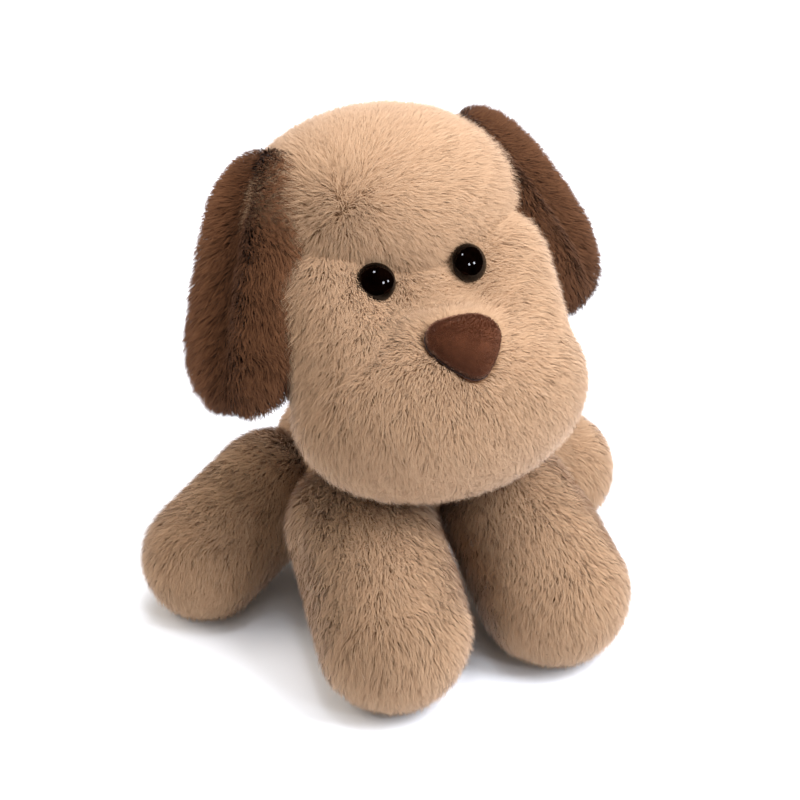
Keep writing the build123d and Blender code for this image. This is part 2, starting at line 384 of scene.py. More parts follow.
@dataclass(frozen=True)
class PlainFinish:
    """An inner piece's finish: a mottled colour over a fine grain."""

    name: str
    dark: tuple
    light: tuple
    grain: float
    depth: float
    roughness: float

    def make(self) -> Material:
        """The material."""
        dye = Dye(self.name)
        grain = dye.noise(self.grain, 4, 0.65)
        dye.paint(
            Base_Color=dye.mix(grain, self.dark, self.light),
            Roughness=self.roughness * (0.8 + 0.4 * grain),
        )
        dye.relief(grain, self.depth)
        return dye.material


@dataclass(frozen=True)
class WovenFinish:
    """Plain woven cloth: threads over and under each other."""

    name: str
    dark: tuple
    light: tuple
    threads: float = 2200.0

    def make(self) -> Material:
        """The material, with crossing threads in colour and relief."""
        dye = Dye(self.name)
        waves = []
        for direction in ("X", "Z"):
            settings = {"wave_type": "BANDS", "bands_direction": direction}
            sockets = {"Vector": dye.where(), "Scale": self.threads / 20, "Distortion": 0.6}
            waves.append(dye.out(dye.node("ShaderNodeTexWave", settings, sockets), 1))
        weave = waves[0] * waves[1]
        dye.paint(
            Base_Color=dye.mix(weave, self.dark, self.light),
            Roughness=0.75 + 0.2 * weave,
            Sheen_Weight=0.1,
        )
        dye.relief(weave, 0.15 * MM)
        return dye.material


class Finishes:
    """Every finish of the dog, each made once."""

    def __init__(self) -> None:
        """Make the materials."""
        # Each fur's root colour is darker than its tip, partly as painted shade deep in the pile.
        self.tan_fur = FurFinish(
            "tan_fur",
            srgb(150, 108, 74),
            srgb(172, 134, 100),
            srgb(194, 160, 127),
            srgb(136, 98, 67),
            srgb(212, 182, 150),
            sheen=0.4,
        ).make()
        self.brown_fur = FurFinish(
            "brown_fur",
            srgb(40, 22, 12),
            srgb(82, 51, 31),
            srgb(124, 83, 55),
            srgb(34, 19, 11),
            srgb(150, 103, 72),
            sheen=0.06,
        ).make()
        tan = srgb(112, 76, 50), srgb(150, 112, 80)
        brown = srgb(30, 17, 10), srgb(58, 35, 22)
        self.tan_backing = BackingFinish("tan_backing", *tan).make()
        self.brown_backing = BackingFinish("brown_backing", *brown).make()
        self.velvet = VelvetFinish("nose_velvet", srgb(56, 29, 17), srgb(112, 68, 46)).make()
        self.velvet_nap = FurFinish(
            "nose_nap",
            srgb(52, 27, 15),
            srgb(84, 48, 31),
            srgb(116, 72, 50),
            srgb(50, 27, 16),
            srgb(168, 110, 80),
            sheen=0.5,
            sheen_tint=srgb(225, 175, 145),
        ).make()
        self.gloss = GlossFinish("eye_plastic", srgb(4, 3, 3), srgb(22, 13, 9)).make()
        self.fibre = PlainFinish(
            "stuffing_fibre", srgb(205, 203, 196), srgb(246, 245, 241), 700, 0.9 * MM, 0.95
        ).make()
        self.pouch = WovenFinish("pouch_cloth", srgb(196, 190, 176), srgb(238, 234, 224)).make()
        self.beads = PlainFinish(
            "pellet_beads", srgb(178, 178, 174), srgb(236, 236, 232), 420, 1.2 * MM, 0.45
        ).make()
        self.washer = PlainFinish(
            "washer_plastic", srgb(206, 205, 200), srgb(240, 239, 235), 900, 0.05 * MM, 0.4
        ).make()


# Meshes ---------------------------------------------------------------------------------------


def pivot(joint: str) -> Vector:
    """The place that a joint turns about."""
    for entry in frame["joints"]:
        if entry["name"] == joint:
            return Vector(entry["pos_m"])
    raise KeyError(joint)


def unit(vectors: Array) -> Array:
    """Vectors of length one."""
    return vectors / np.maximum(np.linalg.norm(vectors, axis=-1, keepdims=True), 1e-12)


def smooth_step(values: Array, low: float, high: float) -> Array:
    """0 below low, 1 above high and an easy curve between."""
    share = np.clip((values - low) / (high - low), 0, 1)
    return share * share * (3 - 2 * share)


def rows_of_three(items: bpy.types.bpy_prop_collection, key: str, kind: type = float) -> Array:
    """One property of many mesh items, as rows of three numbers.

    Args:
        items: the vertices, triangles or normals.
        key: the property's name.
        kind: its type.

    Returns:
        The rows.
    """
    values = np.empty(len(items) * 3, kind)
    items.foreach_get(key, values)
    return values.reshape(-1, 3)


def add_object(name: str, mesh: bpy.types.Mesh, material: Material) -> Piece:
    """Put a mesh into the scene.

    Args:
        name: the piece's name.
        mesh: its mesh.
        material: its finish.

    Returns:
        The piece.
    """
    piece = bpy.data.objects.new(name, mesh)
    bpy.context.scene.collection.objects.link(piece)
    mesh.materials.clear()
    mesh.materials.append(material)
    return piece


def baked_mesh(piece: Piece) -> bpy.types.Mesh:
    """The mesh of a piece with its modifiers applied.

    Args:
        piece: the piece, which stays as it is.

    Returns:
        The mesh.
    """
    bpy.context.view_layer.update()
    graph = bpy.context.evaluated_depsgraph_get()
    return bpy.data.meshes.new_from_object(piece.evaluated_get(graph))


def apply_modifiers(piece: Piece) -> None:
    """Keep the shape that a piece's modifiers give, without the modifiers.

    Args:
        piece: the piece.
    """
    mesh = baked_mesh(piece)
    old = piece.data
    piece.modifiers.clear()
    piece.data = mesh
    bpy.data.meshes.remove(old)
    mesh.shade_smooth()


@dataclass(frozen=True)
class Lump:
    """One rounded mass of stuffing."""

    centre: tuple[float, float, float]
    radii: tuple[float, float, float]

    def moved(self, side: Side) -> "Lump":
        """The same lump on one side of the dog."""
        return Lump((self.centre[0] * side.value, *self.centre[1:]), self.radii)


def between(first: Lump, last: Lump, steps: int) -> list[Lump]:
    """Lumps from one to another, in even steps.

    Args:
        first: the first lump.
        last: the last lump.
        steps: how many to make, the ends among them.

    Returns:
        The lumps.
    """
    lumps = []
    for share in np.linspace(0, 1, steps):
        centre = tuple(np.array(first.centre) * (1 - share) + np.array(last.centre) * share)
        radii = tuple(np.array(first.radii) * (1 - share) + np.array(last.radii) * share)
        lumps.append(Lump(centre, radii))
    return lumps


def draw_over(piece: Piece, filling: str, gap: float = 1.4 * MM, reach: float = 6.5 * MM) -> None:
    """Push a skin out to a gap over a filling, where it would cut into it.

    Args:
        piece: the skin.
        filling: the CAD node of the stuffing under it.
        gap: the least distance between them.
        reach: how far out the filling is looked for.
    """
    node = frame["nodes"][filling]
    tree = BVHTree.FromObject(node, bpy.context.evaluated_depsgraph_get())
    inward = node.matrix_world.inverted()
    spots = [(vertex.co.copy(), vertex.normal.copy()) for vertex in piece.data.vertices]
    places = []
    for spot, normal in spots:
        start = inward @ (spot + normal * reach)
        end = inward @ (spot - normal * gap)
        hit = tree.ray_cast(start, end - start, (end - start).length)[0]
        if hit is not None:
            spot = spot + normal * ((node.matrix_world @ hit - spot).dot(normal) + gap)
        places.append(spot)
    piece.data.vertices.foreach_set("co", np.array(places, np.float32).ravel())
    piece.data.update()


def sewn_skin(
    name: str,
    lumps: list[Lump],
    material: Material,
    filling: str,
    smoothing: int = 14,
    voxel: float = 2.6,
) -> Piece:
    """One closed skin drawn over lumps of stuffing.

    Args:
        name: the piece's name.
        lumps: the masses under the skin.
        material: its finish.
        filling: the CAD node of the stuffing under it.
        smoothing: how often its creases are eased.
        voxel: the size of its first facets in millimetres.

    Returns:
        The piece, smooth and closed.
    """
    shape = bmesh.new()
    for lump in lumps:
        place = Matrix.Translation(Vector(lump.centre)) @ Matrix.Diagonal((*lump.radii, 1.0))
        bmesh.ops.create_icosphere(shape, subdivisions=4, radius=1.0, matrix=place)
    mesh = bpy.data.meshes.new(name)
    shape.to_mesh(mesh)
    shape.free()
    piece = add_object(name, mesh, material)
    remesh = piece.modifiers.new("draw_over", "REMESH")
    remesh.mode = "VOXEL"
    remesh.voxel_size = voxel * MM
    ease = piece.modifiers.new("ease", "SMOOTH")
    ease.factor = 0.5
    ease.iterations = smoothing
    finer = piece.modifiers.new("finer", "SUBSURF")
    finer.levels = finer.render_levels = 1
    apply_modifiers(piece)
    for _ in range(2):
        draw_over(piece, filling)
    piece.data.materials.clear()
    piece.data.materials.append(material)
    return piece


def flatten_on_floor(piece: Piece, height: float) -> None:
    """Press a piece's underside flat where it would reach below a height.

    Args:
        piece: the piece.
        height: the lowest that it may reach.
    """
    places = rows_of_three(piece.data.vertices, "co")
    places[:, 2] = np.maximum(places[:, 2], height)
    piece.data.vertices.foreach_set("co", places.ravel())
    piece.data.update()


def stitched_grid(name: str, rows: list[Array], material: Material) -> Piece:
    """A closed skin from rings of points between two end points.

    Args:
        name: the piece's name.
        rows: an end point, rings of equal length, and an end point, each of shape (n, 3).
        material: its finish.

    Returns:
        The piece.
    """
    points = np.concatenate(rows)
    around = len(rows[1])
    faces = [(0, 1 + (k + 1) % around, 1 + k) for k in range(around)]
    for row in range(len(rows) - 3):
        low = 1 + row * around
        for k in range(around):
            after = (k + 1) % around
            faces.append((low + k, low + after, low + around + after, low + around + k))
    low = 1 + (len(rows) - 3) * around
    last = len(points) - 1
    faces += [(low + k, low + (k + 1) % around, last) for k in range(around)]
    mesh = bpy.data.meshes.new(name)
    mesh.from_pydata(points.tolist(), [], faces)
    tidy = bmesh.new()
    tidy.from_mesh(mesh)
    bmesh.ops.recalc_face_normals(tidy, faces=tidy.faces)
    tidy.to_mesh(mesh)
    tidy.free()
    mesh.shade_smooth()
    return add_object(name, mesh, material)


def lathe(name: str, profile: Array, origin: Vector, axis: Vector, material: Material) -> Piece:
    """A turned piece.

    Args:
        name: the piece's name.
        profile: (radius, height) pairs; the first and the last are on the axis.
        origin: where height 0 is.
        axis: the way that height grows.
        material: its finish.

    Returns:
        The piece.
    """
    turn = axis.to_track_quat("Z", "Y").to_matrix()
    angles = np.linspace(0, 2 * np.pi, 64, endpoint=False)
    rows = []
    for radius, height in profile:
        if radius == 0:
            ring = np.array([[0.0, 0.0, height]])
        else:
            heights = np.full(64, height)
            ring = np.stack([radius * np.cos(angles), radius * np.sin(angles), heights], 1)
        rows.append(ring @ np.array(turn).T + np.array(origin))
    return stitched_grid(name, rows, material)


# Pile -----------------------------------------------------------------------------------------


@dataclass(frozen=True)
class Pile:
    """The pile of a fur fabric: the length, spacing and set of its hairs."""

    length: float
    width: float
    spacing: float  # millimetres between hairs
    root_lean: float  # degrees from upright at the root
    tip_lean: float  # degrees from upright at the tip
    clump: float = 3.2 * MM
    gather: float = 0.35
    stray: float = 0.24
    wave: float = 0.2

    MAP_LENGTH = 0.16
    MAP_WIDTH = 0.003

    def grow(
        self,
        name: str,
        skin: Piece,
        flow: Flow,
        material: Material,
        seed: int,
        length_share: Share | None = None,
        keep: Share | None = None,
        tint: Share | None = None,
    ) -> Piece:
        """Grow the pile on a skin.

        Args:
            name: the piece's name.
            skin: the backing that it grows on.
            flow: the way that it is combed, from places and normals.
            material: its finish.
            seed: the seed of its chance.
            length_share: the share of the full length at each place.
            keep: above 0 where hairs stand.
            tint: from 0, dark, to 1, light, at each place.

        Returns:
            The pile, one tapered blade for each hair.
        """
        chance = np.random.default_rng(SEED + seed)
        roots, normals = self._scatter(skin, chance)
        if keep is not None:
            kept = keep(roots) > 0
            roots, normals = roots[kept], normals[kept]
        count = len(roots)
        combed = flow(roots, normals)
        combed = combed - normals * np.sum(combed * normals, 1, keepdims=True)
        swirl = self._wander(roots, chance)
        swirl -= normals * np.sum(swirl * normals, 1, keepdims=True)
        combed = combed + swirl * self.wave + chance.normal(0, self.stray, (count, 3))
        combed = unit(combed - normals * np.sum(combed * normals, 1, keepdims=True))
        strength = np.clip(np.linalg.norm(flow(roots, normals), axis=1, keepdims=True), 0.15, 1)
        reach = self.length * chance.uniform(0.72, 1.12, (count, 1))
        if length_share is not None:
            reach = reach * length_share(roots)[:, None]
        lean_a = np.radians(self.root_lean) * strength + chance.normal(0, 0.12, (count, 1))
        lean_b = np.radians(self.tip_lean) * strength + chance.normal(0, 0.14, (count, 1))
        first = normals * np.cos(lean_a) + combed * np.sin(lean_a)
        second = normals * np.cos(lean_b) + combed * np.sin(lean_b)
        bend = roots + first * reach * 0.5
        tips = bend + second * reach * 0.5
        tips, bend = self._gathered(roots, bend, tips)
        for points in (bend, tips):
            points[:, 2] = np.maximum(points[:, 2], FLOOR_CLEARANCE)
        sunk = roots - normals * 0.4 * MM
        return self._blades(name, sunk, bend, tips, normals, material, chance, tint)

    def _scatter(self, skin: Piece, chance: np.random.Generator) -> tuple[Array, Array]:
        """Even random places on a skin.

        Args:
            skin: the backing.
            chance: the source of chance.

        Returns:
            The places and the normals there.
        """
        mesh = skin.data
        mesh.calc_loop_triangles()
        corners = rows_of_three(mesh.loop_triangles, "vertices", np.int32)
        places = rows_of_three(mesh.vertices, "co")
        normals = rows_of_three(mesh.vertex_normals, "vector")
        a, b, c = (places[corners[:, k]] for k in range(3))
        areas = np.linalg.norm(np.cross(b - a, c - a), axis=1) / 2
        count = int(areas.sum() / (self.spacing * MM) ** 2)
        steps = (np.arange(count) + chance.uniform(0, 1, count)) / count
        chosen = np.searchsorted(np.cumsum(areas) / areas.sum(), steps)
        chosen = np.minimum(chosen, len(areas) - 1)
        u = np.sqrt(chance.uniform(0, 1, (count, 1)))
        v = chance.uniform(0, 1, (count, 1))
        weights = (1 - u, u * (1 - v), u * v)
        ends = corners[chosen]
        spot = sum(w * places[ends[:, k]] for k, w in enumerate(weights))
        way = sum(w * normals[ends[:, k]] for k, w in enumerate(weights))
        return spot, unit(way)

    @staticmethod
    def _wander(places: Array, chance: np.random.Generator) -> Array:
        """A smooth random direction that changes over some millimetres.

        Args:
            places: where it is wanted.
            chance: the source of chance.

        Returns:
            The direction at each place.
        """
        total = np.zeros_like(places)
        for size in mm(26, 11, 5):
            waves = chance.normal(0, 1, (3, 3)) * 2 * np.pi / size
            phases = chance.uniform(0, 2 * np.pi, 3)
            total += np.sin(places @ waves + phases) * math.sqrt(size / (26 * MM))
        return total

    def _gathered(self, roots: Array, bend: Array, tips: Array) -> tuple[Array, Array]:
        """Draw the tips of neighbouring hairs together into tufts.

        Args:
            roots: where the hairs stand.
            bend: their middles.
            tips: their tips.

        Returns:
            The new tips and middles.
        """
        wobble = np.sin(roots[:, [1, 2, 0]] * 2 * np.pi / (9 * MM)) * self.clump * 0.35
        cells = np.floor((roots + wobble) / self.clump).astype(np.int64)
        keys = cells @ np.array([1, 100003, 10000600009], np.int64)
        _, which, sizes = np.unique(keys, return_inverse=True, return_counts=True)
        which = which.ravel()
        centre = np.stack([np.bincount(which, tips[:, k]) for k in range(3)], 1) / sizes[:, None]
        aim = centre[which]
        return tips + (aim - tips) * self.gather, bend + (aim - tips) * self.gather * 0.3

    def _blades(
        self,
        name: str,
        roots: Array,
        bend: Array,
        tips: Array,
        normals: Array,
        material: Material,
        chance: np.random.Generator,
        tint: Share | None,
    ) -> Piece:
        """One mesh of tapered blades, each a quad and a point.

        Args:
            name: the piece's name.
            roots: the roots.
            bend: the middles.
            tips: the tips.
            normals: the skin's normals at the roots.
            material: the finish.
            chance: the source of chance.
            tint: from 0, dark, to 1, light, at each place.

        Returns:
            The piece.
        """
        count = len(roots)
        along = unit(tips - roots)
        across = unit(np.cross(along, normals) + 1e-9)
        lift = unit(np.cross(across, along))
        turn = chance.normal(0, 0.55, (count, 1))
        across = across * np.cos(turn) + lift * np.sin(turn)
        wide = self.width * chance.uniform(0.7, 1.25, (count, 1)) / 2
        points = np.stack(
            [
                roots - across * wide,
                roots + across * wide,
                bend - across * wide * 0.85,
                bend + across * wide * 0.85,
                tips,
            ],
            1,
        )
        points[..., 2] = np.maximum(points[..., 2], FLOOR_CLEARANCE)
        mesh = bpy.data.meshes.new(name)
        mesh.vertices.add(count * 5)
        mesh.vertices.foreach_set("co", points.astype(np.float32).ravel())
        base = np.arange(count)[:, None] * 5
        order = np.array([0, 1, 3, 2, 2, 3, 4])
        mesh.loops.add(count * 7)
        mesh.loops.foreach_set("vertex_index", (base + order).astype(np.int32).ravel())
        mesh.polygons.add(count * 2)
        starts = np.arange(count)[:, None] * 7 + np.array([0, 4])
        mesh.polygons.foreach_set("loop_start", starts.astype(np.int32).ravel())
        shade = chance.normal(0.5, 0.17, count)
        if tint is not None:
            shade = shade + (tint(roots) - 0.5)
        shade = np.clip(shade, 0.02, 0.98)
        half = self.MAP_WIDTH / 2
        u_map = np.array([0.01, 0.01, 0.5, 0.5, 0.5, 0.5, 0.99]) * self.MAP_LENGTH
        v_map = np.array([-half, half, half, -half, -half, half, 0.0])
        chart = np.empty((count, 7, 2), np.float32)
        chart[..., 0] = u_map
        chart[..., 1] = shade[:, None] + v_map
        mesh.uv_layers.new(name=BAKE_MAP).data.foreach_set("uv", chart.ravel())
        mesh.update(calc_edges=True)
        soft = unit(normals * 0.75 + lift * 0.25 + along * 0.12)
        mesh.shade_smooth()
        mesh.normals_split_custom_set_from_vertices(np.repeat(soft, 5, axis=0).astype(np.float32))
        log.info("%s: %d hairs", name, count)
        return add_object(name, mesh, material)


def fur_piece(skin: Piece, pile: Piece, body: str, nodes: list[str]) -> None:
    """Make a skin and its pile ride on a body, and hide the CAD nodes that the skin takes the place
    of.

    Args:
        skin: the backing.
        pile: the hairs.
        body: the body that they ride on.
        nodes: the CAD nodes that the skin takes the place of, which are hidden.
    """
    for piece in (skin, pile):
        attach(piece, body)
    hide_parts(*nodes)


# Sub-assemblies -------------------------------------------------------------------------------


@dataclass
class Head:
    """The head: skull, brow and muzzle under one skin, with its combed pile."""

    finishes: Finishes
    pile: Pile = Pile(9.0 * MM, 0.25 * MM, 0.44, 34, 68, clump=1.8 * MM, gather=0.08)
    skull: Lump = Lump(mm(0, 20, 81), mm(59, 44.5, 44.5))
    brow: Lump = Lump(mm(0, -11, 54), mm(57, 29, 29))
    cheek: Lump = Lump(mm(34.5, -8, 61), mm(27, 27, 28))
    jowl: Lump = Lump(mm(30, -36, 38), mm(28, 28, 28))
    muzzle: Lump = Lump(mm(1.5, -45, 29), mm(59, 38, 38))
    whorl: tuple = mm(-29, -11, 111)
    neck: Vector = field(default_factory=lambda: pivot("head_nod"))

    def lumps(self) -> list[Lump]:
        """The masses of the head, in their places over the neck."""
        masses = [self.skull, self.brow, self.muzzle]
        for side in Side:
            masses += between(self.cheek.moved(side), self.jowl.moved(side), 4)
        return [Lump(tuple(Vector(mass.centre) + self.neck), mass.radii) for mass in masses]

    def build(self, eyes: list["Eye"], nose: "Nose") -> None:
        """Build the skin and the pile, clear of the eyes and the nose.

        Args:
            eyes: the two eyes.
            nose: the nose.
        """
        backing = self.finishes.tan_backing
        skin = sewn_skin("head_skin", self.lumps(), backing, "head_filling", smoothing=16)
        whorl = np.array(Vector(self.whorl) + self.neck)
        tip = np.array(nose.centre)
        seats = [np.array(eye.seat) for eye in eyes]

        def flow(places: Array, normals: Array) -> Array:
            """Down and out from the forehead, and out from the nose over the muzzle.

            Args:
                places: the roots of the hairs.
                normals: the skin's normals there, which it doesn't need.

            Returns:
                The way at each root, shorter where the hairs part.
            """
            near = np.exp(-((np.linalg.norm(places - tip, axis=1, keepdims=True) / (40 * MM)) ** 2))
            down = np.array([0.0, 0.0, -0.35])
            ways = unit(places - whorl) * (1 - near) + unit(places - tip) * near + down
            rise = np.linalg.norm(places - whorl, axis=1, keepdims=True)
            return unit(ways) * np.clip(rise / (22 * MM), 0.6, 1)

        def length_share(places: Array) -> Array:
            """Short round the eyes and the nose, long on the cheeks and under the chin.

            Args:
                places: the roots of the hairs.

            Returns:
                The share of the full length at each root.
            """
            nose_gap = np.linalg.norm(places - tip, axis=1)
            share = 0.5 + 0.5 * smooth_step(nose_gap, 16 * MM, 58 * MM)
            for seat in seats:
                gap = np.linalg.norm(places - seat, axis=1)
                share *= 0.45 + 0.55 * smooth_step(gap, 7 * MM, 24 * MM)
            return share

        def keep(places: Array) -> Array:
            """Nothing under the eyes and the nose.

            Args:
                places: the roots of the hairs.

            Returns:
                The distance from the nearest of them, below 0 under it.
            """
            clear = nose.outside(places)
            for seat in seats:
                gap = np.linalg.norm(places - seat, axis=1) - eyes[0].radius * 0.84
                clear = np.minimum(clear, gap)
            return clear

        fur = self.finishes.tan_fur
        hairs = self.pile.grow("head_pile", skin, flow, fur, 1, length_share, keep)
        nodes = ["head_cover_left", "head_cover_right", "forehead_gusset", "chin_panel"]
        fur_piece(skin, hairs, "head", nodes)
        log.info("head: %d skin faces", len(skin.data.polygons))


@dataclass
class Eye:
    """A domed safety eye with its ribbed post."""

    side: Side
    finishes: Finishes
    radius: float = 8.3 * MM
    dome: float = 6.8 * MM
    rim: float = 1.0 * MM
    post_radius: float = 2.2 * MM
    rib_radius: float = 2.6 * MM
    post_length: float = 13 * MM
    rib_pitch: float = 2.4 * MM
    offset: tuple = mm(20.8, -28, 78.8)
    shift: float = -1.4 * MM
    facing: tuple = (0.30, -0.80, 0.52)

    @property
    def seat(self) -> Vector:
        """The middle of the eye's back, on the head."""
        x, y, z = self.offset
        return Vector((x * self.side.value + self.shift, y, z)) + pivot("head_nod")

    def profile(self) -> Array:
        """The outline of the eye from the end of its post to the top of its dome."""
        points = [(0.0, -self.post_length), (self.post_radius, -self.post_length)]
        height = -self.post_length + self.rib_pitch
        while height < -4 * MM:
            points += [
                (self.post_radius, height),
                (self.rib_radius, height),
                (self.rib_radius, height + self.rib_pitch / 2),
                (self.post_radius, height + self.rib_pitch / 2),
            ]
            height += self.rib_pitch
        points += [(self.post_radius, 0.0), (self.radius * 0.97, 0.0), (self.radius, 0.25 * MM)]
        for angle in np.linspace(0, math.pi / 2, 18)[:-1]:
            rise = (self.dome - self.rim) * math.sin(angle)
            points.append((self.radius * math.cos(angle), self.rim + rise))
        points.append((0.0, self.dome))
        return np.array(points)

    def build(self) -> None:
        """Build the eye."""
        way = Vector((self.facing[0] * self.side.value, *self.facing[1:])).normalized()
        name = f"eye_{self.side.word}"
        piece = lathe(f"{name}_button", self.profile(), self.seat, way, self.finishes.gloss)
        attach(piece, "head")
        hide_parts(name)
        log.info("%s: %d faces", name, len(piece.data.polygons))


@dataclass
class Nose:
    """The nose: a stuffed, rounded triangle of velvet, sewn down round its edge."""

    finishes: Finishes
    nap: Pile = Pile(0.9 * MM, 0.16 * MM, 0.27, 20, 45, clump=1.5 * MM, gather=0.1)
    elevation: float = 60.0
    reach: float = 39.5 * MM
    lobe: tuple = mm(7.5, 4.5, 9.0)
    point: tuple = mm(0, -9.5, 6.0)
    height: float = 7.6 * MM
    depth: float = 4.0 * MM
    roundness: float = 0.3
    mean_radius: float = 14.8 * MM
    thread: float = 0.4 * MM
    seat_radius: float = 90 * MM
    muzzle: tuple = mm(1.2, -45, 28.4)

    @property
    def normal(self) -> Vector:
        """The way that the nose faces."""
        angle = math.radians(self.elevation)
        return Vector((0, -math.cos(angle), math.sin(angle)))

    @property
    def centre(self) -> Vector:
        """The middle of the nose on the muzzle."""
        return Vector(self.muzzle) + pivot("head_nod") + self.normal * self.reach

    @property
    def upward(self) -> Vector:
        """The way up the face of the nose."""
        return self.normal.cross(Vector((1, 0, 0)))

    def rim(self, angles: Array) -> Array:
        """The rim of a rounded triangle.

        Args:
            angles: directions on its face.

        Returns:
            The distance from the middle to the rim in each direction.
        """
        ways = np.stack([np.cos(angles), np.sin(angles)], 1)
        corners = [self.lobe, (-self.lobe[0], *self.lobe[1:]), self.point]
        outline = []
        for x, y, radius in corners:
            turn = np.linspace(0, 2 * np.pi, 120, endpoint=False)
            outline.append(np.stack([x + radius * np.cos(turn), y + radius * np.sin(turn)], 1))
        cloud = np.concatenate(outline)
        normals = np.linspace(0, 2 * np.pi, 360, endpoint=False)
        edges = np.stack([np.cos(normals), np.sin(normals)], 1)
        support = (cloud @ edges.T).max(0)
        facing = ways @ edges.T
        reach = np.where(facing > 1e-3, support / np.maximum(facing, 1e-3), np.inf)
        return reach.min(1) * (1 - self.roundness) + self.mean_radius * self.roundness

    def outside(self, places: Array) -> Array:
        """How far places on the head are outside the rim.

        Args:
            places: the places.

        Returns:
            The distances, below 0 under the nose.
        """
        offset = places - np.array(self.centre)
        x = offset[:, 0]
        y = offset @ np.array(self.upward)
        height = offset @ np.array(self.normal)
        gap = np.hypot(x, y) - self.rim(np.arctan2(y, x)) * 0.97
        return np.where(np.abs(height) < 14 * MM, gap, 1.0)

    def seam(self, rim: Array) -> Piece:
        """The sewing thread that holds the pad down, with a dip at each stitch.

        Args:
            rim: points along the pad's rim.

        Returns:
            The thread.
        """
        curve = bpy.data.curves.new("nose_seam", "CURVE")
        curve.dimensions = "3D"
        curve.bevel_depth = self.thread
        curve.bevel_resolution = 3
        line = curve.splines.new("POLY")
        line.points.add(len(rim) - 1)
        for number, (point, place) in enumerate(zip(line.points, rim)):
            dip = self.thread * 0.5 * (number % 3 == 0)
            point.co = (*(place - np.array(self.normal) * dip), 1.0)
        line.use_cyclic_u = True
        cord = bpy.data.objects.new("nose_seam_line", curve)
        bpy.context.scene.collection.objects.link(cord)
        mesh = baked_mesh(cord)
        bpy.data.objects.remove(cord)
        mesh.name = "nose_seam"
        mesh.shade_smooth()
        return add_object("nose_seam", mesh, self.finishes.brown_backing)

    def build(self) -> None:
        """Build the pad, its nap and the seam round it."""
        angles = np.linspace(0, 2 * np.pi, 96, endpoint=False)
        rim = self.rim(angles)
        sides = np.array([Vector((1, 0, 0)), self.upward, self.normal])
        sag = 1 / (2 * self.seat_radius)

        def ring(share: float, height: float) -> Array:
            """A ring of the pad.

            Args:
                share: the share of its rim.
                height: how high it is over the muzzle.

            Returns:
                Its points.
            """
            x, y = rim * share * np.cos(angles), rim * share * np.sin(angles)
            local = np.stack([x, y, height - (y * y + 0.4 * x * x) * sag], 1)
            return local @ sides + np.array(self.centre)

        def spot(height: float) -> Array:
            """The middle of the pad at a height."""
            return np.array([[0, 0, height]]) @ sides + np.array(self.centre)

        rows = [spot(-self.depth)]
        rows += [ring(share, -self.depth) for share in (0.3, 0.6, 0.85, 0.95)]
        for angle in np.linspace(0, math.pi / 2, 22)[:-1]:
            tucked = 0.97 + 0.03 * math.sin(2 * angle)
            share = tucked if angle < 0.4 else math.cos(angle) ** 0.9
            rows.append(ring(share, self.height * math.sin(angle) ** 1.05))
        rows.append(spot(self.height))
        pad = stitched_grid("nose_pad", rows, self.finishes.velvet)
        seam = self.seam(ring(1.0, 0.2 * MM))
        down = -np.array(self.upward)
        depth = np.array(self.normal)
        middle = np.array(self.centre)
        # The way that the painted light grows lighter: up the nose and towards its left, where the
        # key light falls.
        brushed_and_painted_light = 0.5 * np.array([1.0, 0, 0]) - down

        def flow(places: Array, normals: Array) -> Array:
            """Down the face of the nose."""
            return np.broadcast_to(down, places.shape) * 0.8

        def keep(places: Array) -> Array:
            """Only on the side that shows."""
            return (places - middle) @ depth + 2 * MM

        def tint(places: Array) -> Array:
            """Painted light: lighter towards the top and the left, where the key light falls."""
            return 0.42 + (places - middle) @ brushed_and_painted_light * (0.3 / (15 * MM))

        hairs = self.nap.grow(
            "nose_nap", pad, flow, self.finishes.velvet_nap, 9, keep=keep, tint=tint
        )
        for piece in (pad, hairs, seam):
            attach(piece, "head")
        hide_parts("nose_cover", "nose_filling")
        log.info("nose: %d faces", len(pad.data.polygons))


